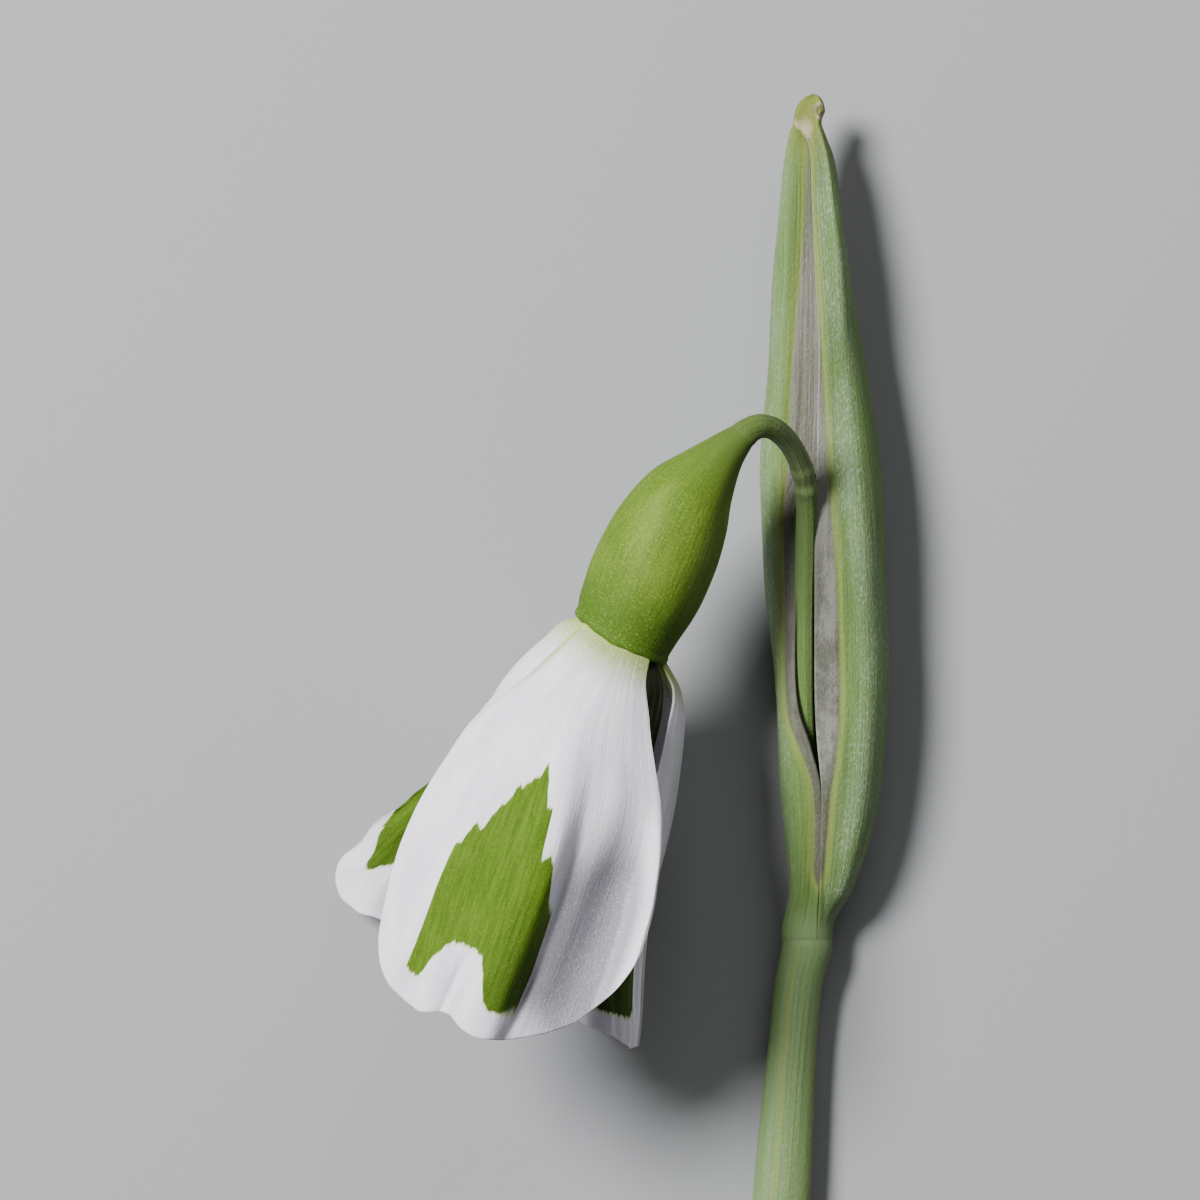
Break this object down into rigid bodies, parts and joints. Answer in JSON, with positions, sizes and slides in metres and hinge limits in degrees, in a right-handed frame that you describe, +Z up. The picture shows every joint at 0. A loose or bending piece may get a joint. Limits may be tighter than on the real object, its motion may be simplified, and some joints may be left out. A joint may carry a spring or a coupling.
{
  "type": "cut snowdrop flower",
  "caption": "Cut snowdrop lying on its side: a nodding white flower with green tip marks, a green ovary, an arched pedicel, a split spathe and a bare stem.",
  "frame": {"origin": "on the surface the flower lies on, at the middle of the bounding box", "axes": "+Y from the cut end of the stem to the tip of the spathe, +Z up from the surface, the flower hanging on the -X side"},
  "size_m": [0.0284, 0.1202, 0.0159],
  "materials": {
    "scape": "satin, glaucous green plant skin",
    "spathe": "glaucous green valves with papery grey-white membranes",
    "pedicel": "satin green plant skin",
    "ovary": "satin, finely ribbed yellow-green",
    "outer_petal": "soft white with a green mark near the tip",
    "inner_petal": "green with a white rim",
    "stamen": "matte orange-yellow",
    "style": "pale green"
  },
  "bodies": {
    "root": {"scape": "scape", "spathe": "spathe", "pedicel": "pedicel", "ovary": "ovary", "outer_petal_front": "outer_petal", "outer_petal_left": "outer_petal", "outer_petal_right": "outer_petal", "inner_petal_right": "inner_petal", "inner_petal_left": "inner_petal", "inner_petal_back": "inner_petal", "stamens": "stamen", "style": "style"}
  },
  "joints": []
}
